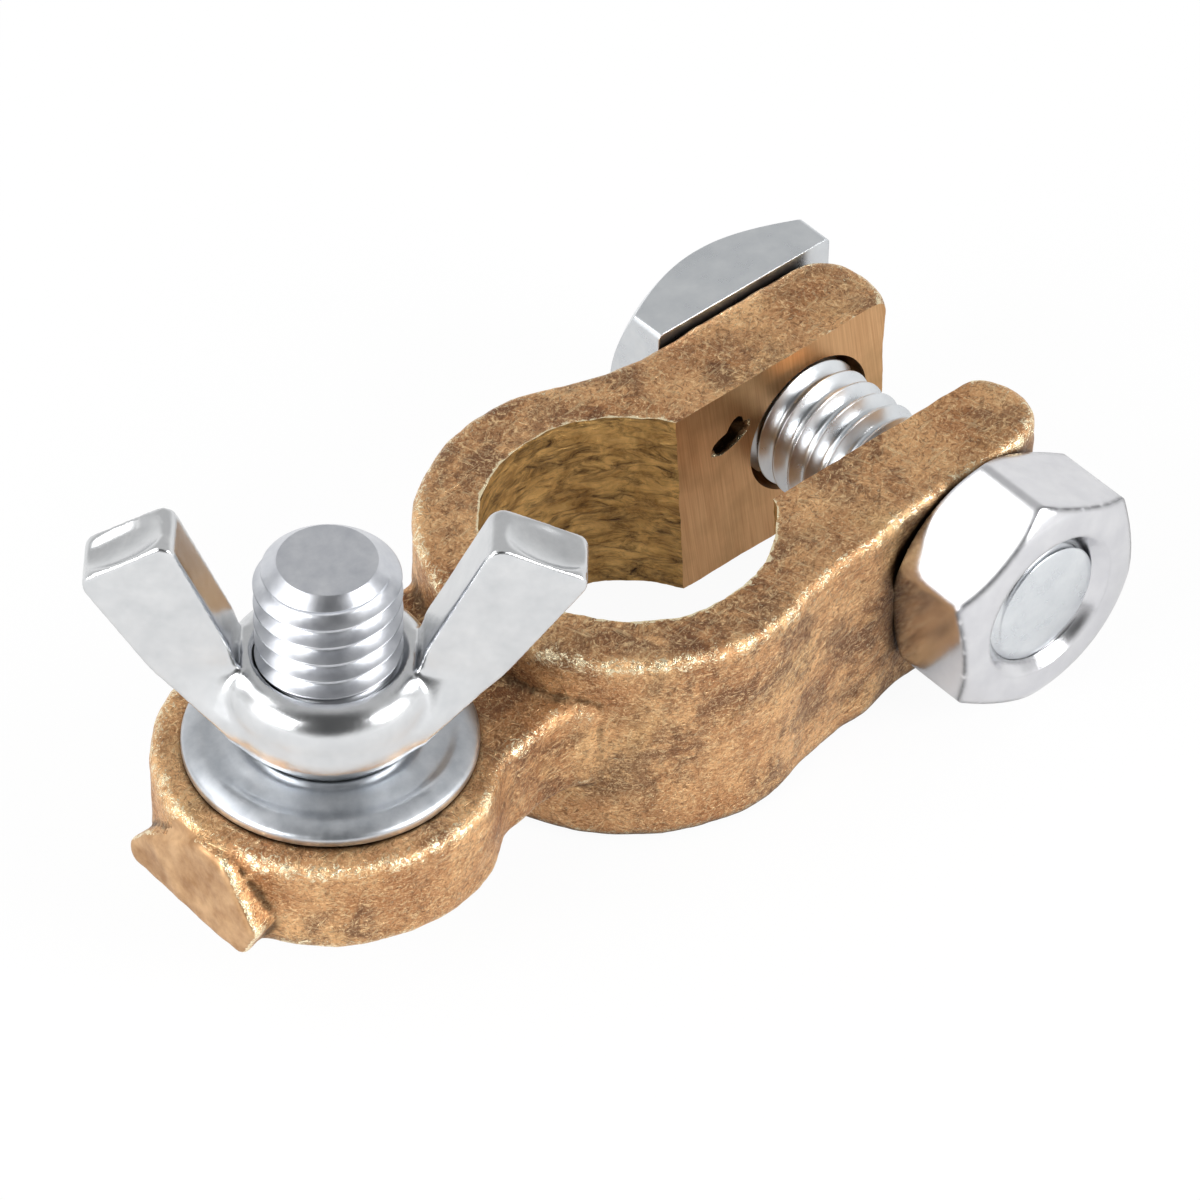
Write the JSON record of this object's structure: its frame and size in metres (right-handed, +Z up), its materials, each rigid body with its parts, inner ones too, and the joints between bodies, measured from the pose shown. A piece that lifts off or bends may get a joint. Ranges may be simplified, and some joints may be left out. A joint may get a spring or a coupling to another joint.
{
  "type": "battery terminal clamp",
  "caption": "Split ring clamp for a tapered battery post, closed by a square-head bolt and nut, with a stud and wing nut that hold the cable lug.",
  "frame": {"origin": "centre of the post bore on the underside of the ring", "axes": "+Z up the bore, away from the battery; +X from the bore towards the slot and the clamping bolt, with the cable stud on -X; +Y towards the bolt's head"},
  "size_m": [0.0562, 0.0298, 0.0261],
  "materials": {
    "cast_brass": "tumbled sand casting with brown patina, worn bright on its edges",
    "stud_steel": "rolled thread, thin clear zinc plating",
    "washer_steel": "stamped, satin zinc plating",
    "wing_nut_zinc": "forged, bright zinc plating",
    "bolt_zinc": "cold headed, bluish clear zinc plating",
    "nut_zinc": "cold formed, bright zinc plating"
  },
  "bodies": {
    "clamp": {"clamp_body": "cast_brass", "terminal_stud": "stud_steel"},
    "washer": {"washer": "washer_steel"},
    "wing_nut": {"wing_nut": "wing_nut_zinc"},
    "bolt": {"clamp_bolt": "bolt_zinc"},
    "nut": {"hex_nut": "nut_zinc"}
  },
  "joints": [
    {"name": "washer_lift", "type": "slide", "parent": "clamp", "child": "washer", "axis": [0, 0, 1], "range_m": [0, 0.005]},
    {"name": "wing_nut_turn", "type": "hinge", "parent": "washer", "child": "wing_nut", "pos_m": [-0.0216, -0.0004, 0.0122], "axis": [0, 0, 1], "range_deg": [0, 1440]},
    {"name": "bolt_slide", "type": "slide", "parent": "clamp", "child": "bolt", "axis": [0, 1, 0], "range_m": [0, 0.00375]},
    {"name": "nut_turn", "type": "hinge", "parent": "clamp", "child": "nut", "pos_m": [0.0174, -0.0097, 0.0074], "axis": [0, -1, 0], "range_deg": [0, 1080]}
  ],
  "couplings": [
    {"joint": "washer_lift", "follows": "wing_nut_turn", "m_per_rad": 0.00019894},
    {"joint": "bolt_slide", "follows": "nut_turn", "m_per_rad": 0.00019894}
  ]
}
